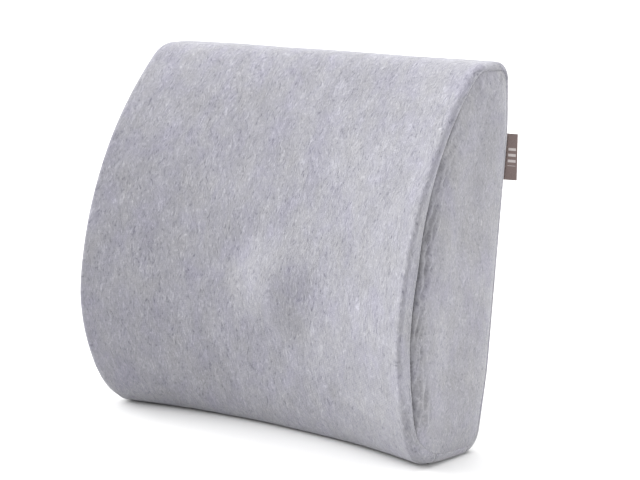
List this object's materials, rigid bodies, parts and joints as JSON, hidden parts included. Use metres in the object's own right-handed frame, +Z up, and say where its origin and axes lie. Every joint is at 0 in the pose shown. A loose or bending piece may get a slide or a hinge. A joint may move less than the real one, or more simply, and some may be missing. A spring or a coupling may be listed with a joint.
{
  "type": "lumbar support cushion",
  "caption": "Office-chair lumbar cushion: D-profile foam block hollowed at the waist with a low central bump, in a heather-grey knitted zip-off cover with a side label.",
  "frame": {"origin": "on the floor, on the flat of the base at mid width, 30 mm in front of the upright through the back's heel", "axes": "+X across the cushion towards the label's side, -Y towards the sitter's back, +Z up; the flat back leans about 7 degrees towards +Y as it rises"},
  "size_m": [0.3577, 0.1543, 0.32],
  "materials": {
    "foam": "matte",
    "liner_knit": "matte",
    "heather_knit": "matte",
    "seam_thread": "matte",
    "zip_tape": "matte",
    "zip_teeth": "satin",
    "zip_metal": "satin",
    "label_weave": "matte",
    "label_thread": "matte"
  },
  "bodies": {
    "cushion": {"foam_core": "foam", "inner_liner": "liner_knit", "front_panel": "heather_knit", "base_panel": "heather_knit", "back_panel_upper": "heather_knit", "back_panel_lower": "heather_knit", "side_panel_right": "heather_knit", "side_panel_left": "heather_knit", "side_seam_right": "seam_thread", "side_seam_left": "seam_thread", "top_rear_seam": "seam_thread", "base_front_seam": "seam_thread", "zip_tape_upper": "zip_tape", "zip_tape_lower": "zip_tape", "zip_teeth_upper": "zip_teeth", "zip_teeth_lower": "zip_teeth", "zip_top_stops": "zip_metal", "zip_bottom_stop": "zip_metal", "label": "label_weave", "label_stitching": "label_thread"},
    "slider": {"zip_slider": "zip_metal"},
    "pull": {"zip_pull": "zip_metal"}
  },
  "joints": [
    {"name": "zip_slide", "type": "slide", "parent": "cushion", "child": "slider", "axis": [1, 0, 0], "range_m": [0, 0.255]},
    {"name": "pull_hinge", "type": "hinge", "parent": "slider", "child": "pull", "pos_m": [-0.1265, 0.04229, 0.06498], "axis": [0, 0.1231, 0.9924], "range_deg": [0, 170]}
  ]
}
